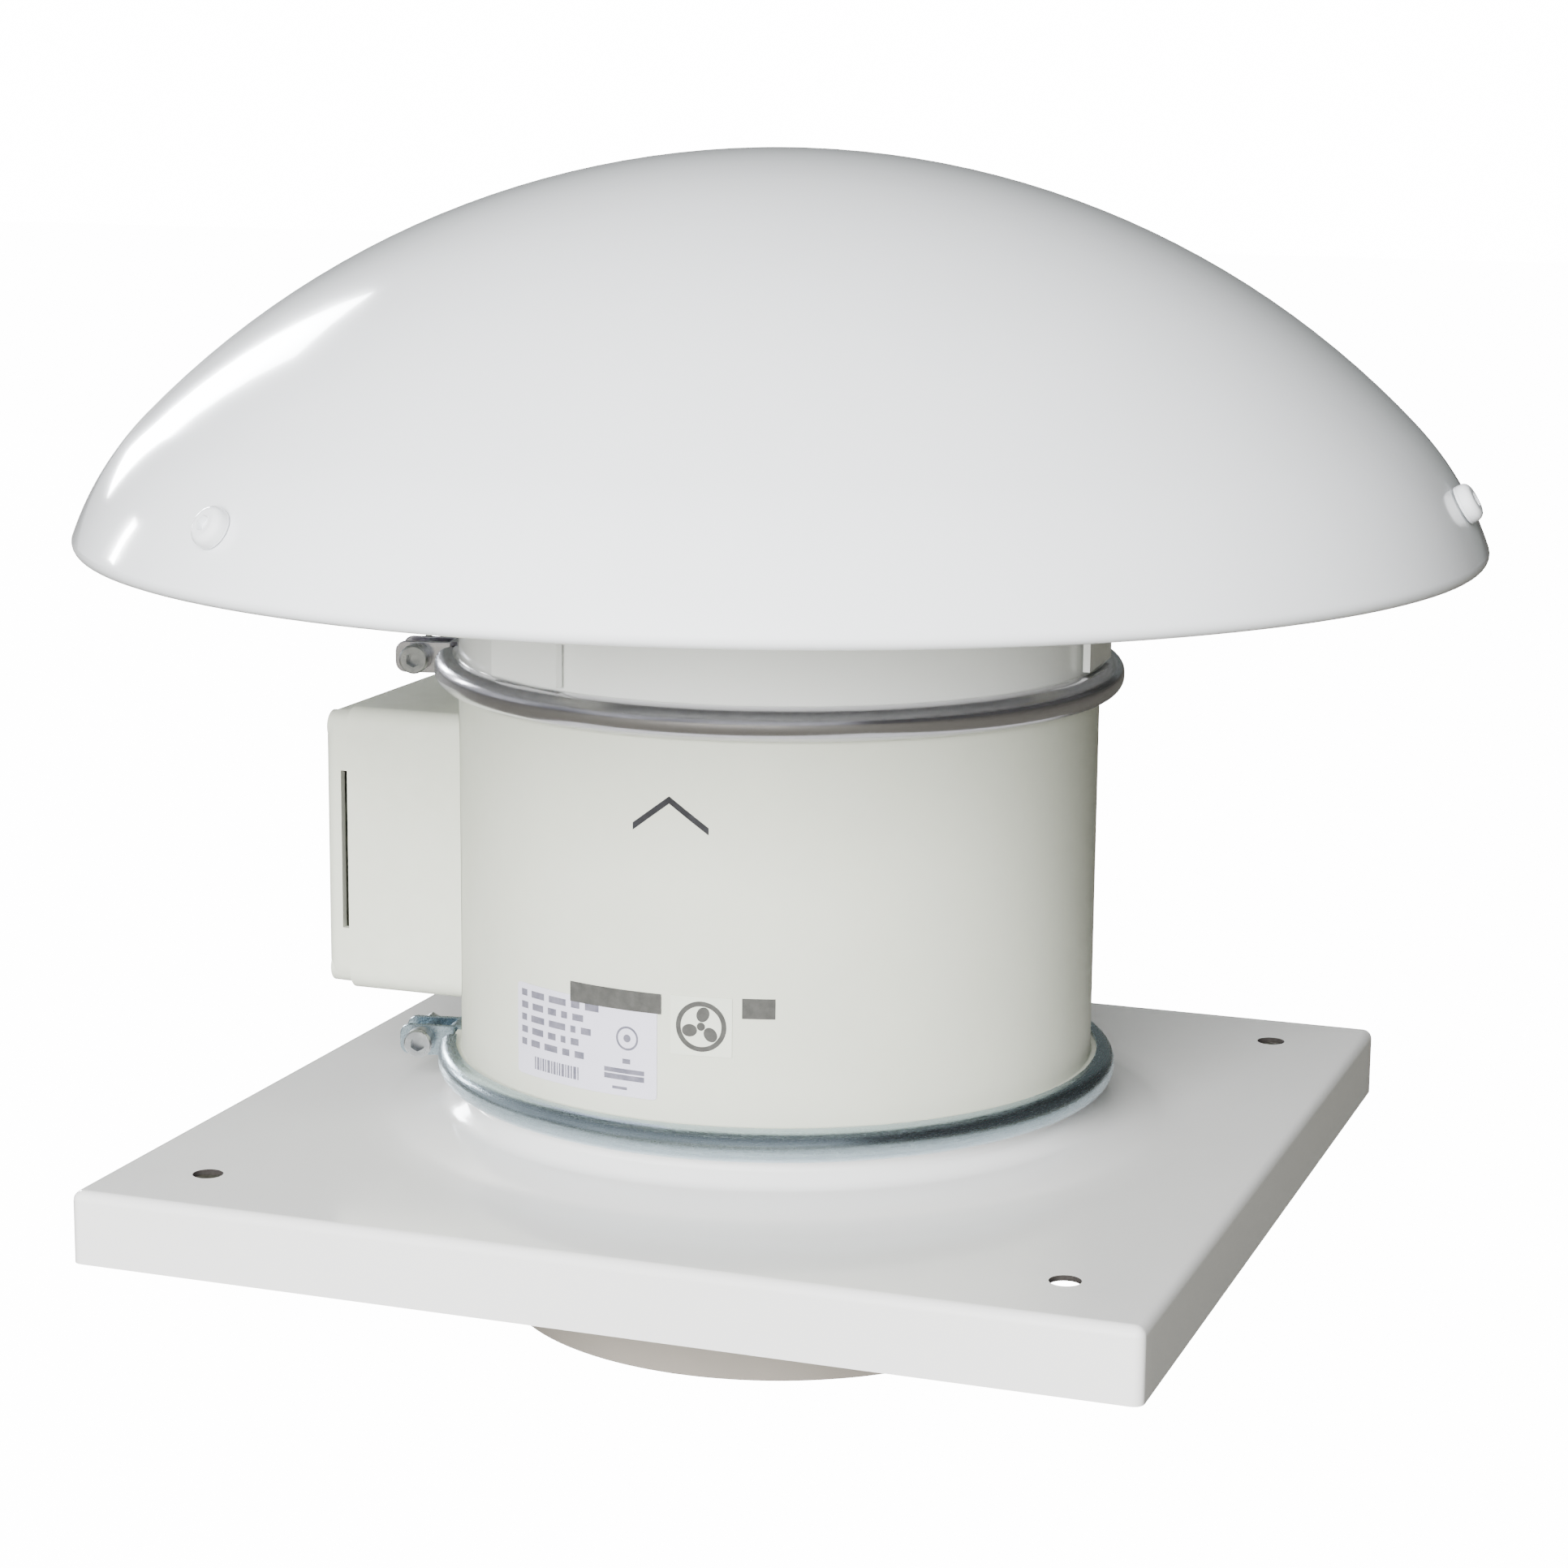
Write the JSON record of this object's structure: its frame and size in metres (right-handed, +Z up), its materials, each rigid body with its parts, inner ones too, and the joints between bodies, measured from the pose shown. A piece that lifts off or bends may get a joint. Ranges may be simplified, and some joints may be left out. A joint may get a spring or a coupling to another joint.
{
  "type": "roof exhaust fan",
  "caption": "Roof exhaust fan with a domed weather hood, a clamped mixed-flow fan casing with a side terminal box, and a square kerb base with a duct spigot.",
  "frame": {"origin": "on the fan axis, at the open lower end of the duct spigot, the lowest face", "axes": "+Z up along the fan axis, -X towards the terminal box's lid, X and Y along the edges of the square base"},
  "size_m": [0.4, 0.4, 0.3362],
  "materials": {
    "painted_steel": "gloss off-white paint",
    "inner_steel": "galvanised",
    "gasket_rubber": "soft black",
    "casing_plastic": "light grey-green, fine grain",
    "clamp_steel": "bright rolled steel",
    "zinc_steel": "zinc plated",
    "fan_plastic": "moulded grey",
    "cast_aluminium": "as cast",
    "core_steel": "stacked laminations",
    "winding_copper": "varnished copper wire",
    "bearing_steel": "ground and polished",
    "dark_plastic": "black",
    "dark_rubber": "sheath",
    "block_plastic": "natural",
    "terminal_brass": "plated",
    "label_film": "printed film"
  },
  "bodies": {
    "housing": {"base_plate": "painted_steel", "inlet_spigot": "painted_steel", "outlet_neck": "painted_steel", "hood": "painted_steel", "hood_screws": "painted_steel", "hood_straps": "painted_steel", "inlet_cone": "inner_steel", "lower_gasket": "gasket_rubber", "upper_gasket": "gasket_rubber", "lid_gasket": "gasket_rubber", "lead_grommet": "gasket_rubber", "gland_seal": "gasket_rubber", "hood_washers": "gasket_rubber", "fan_casing": "casing_plastic", "terminal_box": "casing_plastic", "vane_carrier": "casing_plastic", "lower_clamp": "clamp_steel", "upper_clamp": "clamp_steel", "clamp_bolts": "zinc_steel", "clamp_nuts": "zinc_steel", "hood_nuts": "zinc_steel", "motor_tie_bolts": "zinc_steel", "motor_screws": "zinc_steel", "box_screws": "zinc_steel", "motor_lower_shield": "cast_aluminium", "motor_upper_shield": "cast_aluminium", "stator_core": "core_steel", "stator_windings": "winding_copper", "bearing_outer_rings": "bearing_steel", "gland_body": "dark_plastic", "gland_nut": "dark_plastic", "gland_locknut": "dark_plastic", "capacitor": "dark_plastic", "motor_leads": "dark_rubber", "terminal_block": "block_plastic", "terminal_screws": "terminal_brass", "rating_label": "label_film", "symbol_label": "label_film"},
    "terminal_cover": {"terminal_lid": "casing_plastic", "lid_screws": "zinc_steel"},
    "rotor": {"impeller_nut": "zinc_steel", "impeller_washer": "zinc_steel", "impeller": "fan_plastic", "spinner_cap": "fan_plastic", "rotor_core": "core_steel", "motor_shaft": "bearing_steel", "bearing_inner_rings": "bearing_steel"},
    "lower_cage": {"lower_bearing_balls": "bearing_steel", "lower_bearing_cage": "bearing_steel"},
    "upper_cage": {"upper_bearing_balls": "bearing_steel", "upper_bearing_cage": "bearing_steel"}
  },
  "joints": [
    {"name": "impeller_spin", "type": "hinge", "parent": "housing", "child": "rotor", "pos_m": [0, 0, 0.1], "axis": [0, 0, 1], "continuous": true},
    {"name": "lower_cage_spin", "type": "hinge", "parent": "housing", "child": "lower_cage", "pos_m": [0, 0, 0.1135], "axis": [0, 0, 1], "continuous": true},
    {"name": "upper_cage_spin", "type": "hinge", "parent": "housing", "child": "upper_cage", "pos_m": [0, 0, 0.1645], "axis": [0, 0, 1], "continuous": true},
    {"name": "cover_lift", "type": "slide", "parent": "housing", "child": "terminal_cover", "axis": [-1, 0, 0], "range_m": [0, 0.03]}
  ],
  "couplings": [
    {"joint": "lower_cage_spin", "follows": "impeller_spin", "ratio": 0.37194},
    {"joint": "upper_cage_spin", "follows": "impeller_spin", "ratio": 0.37194}
  ]
}
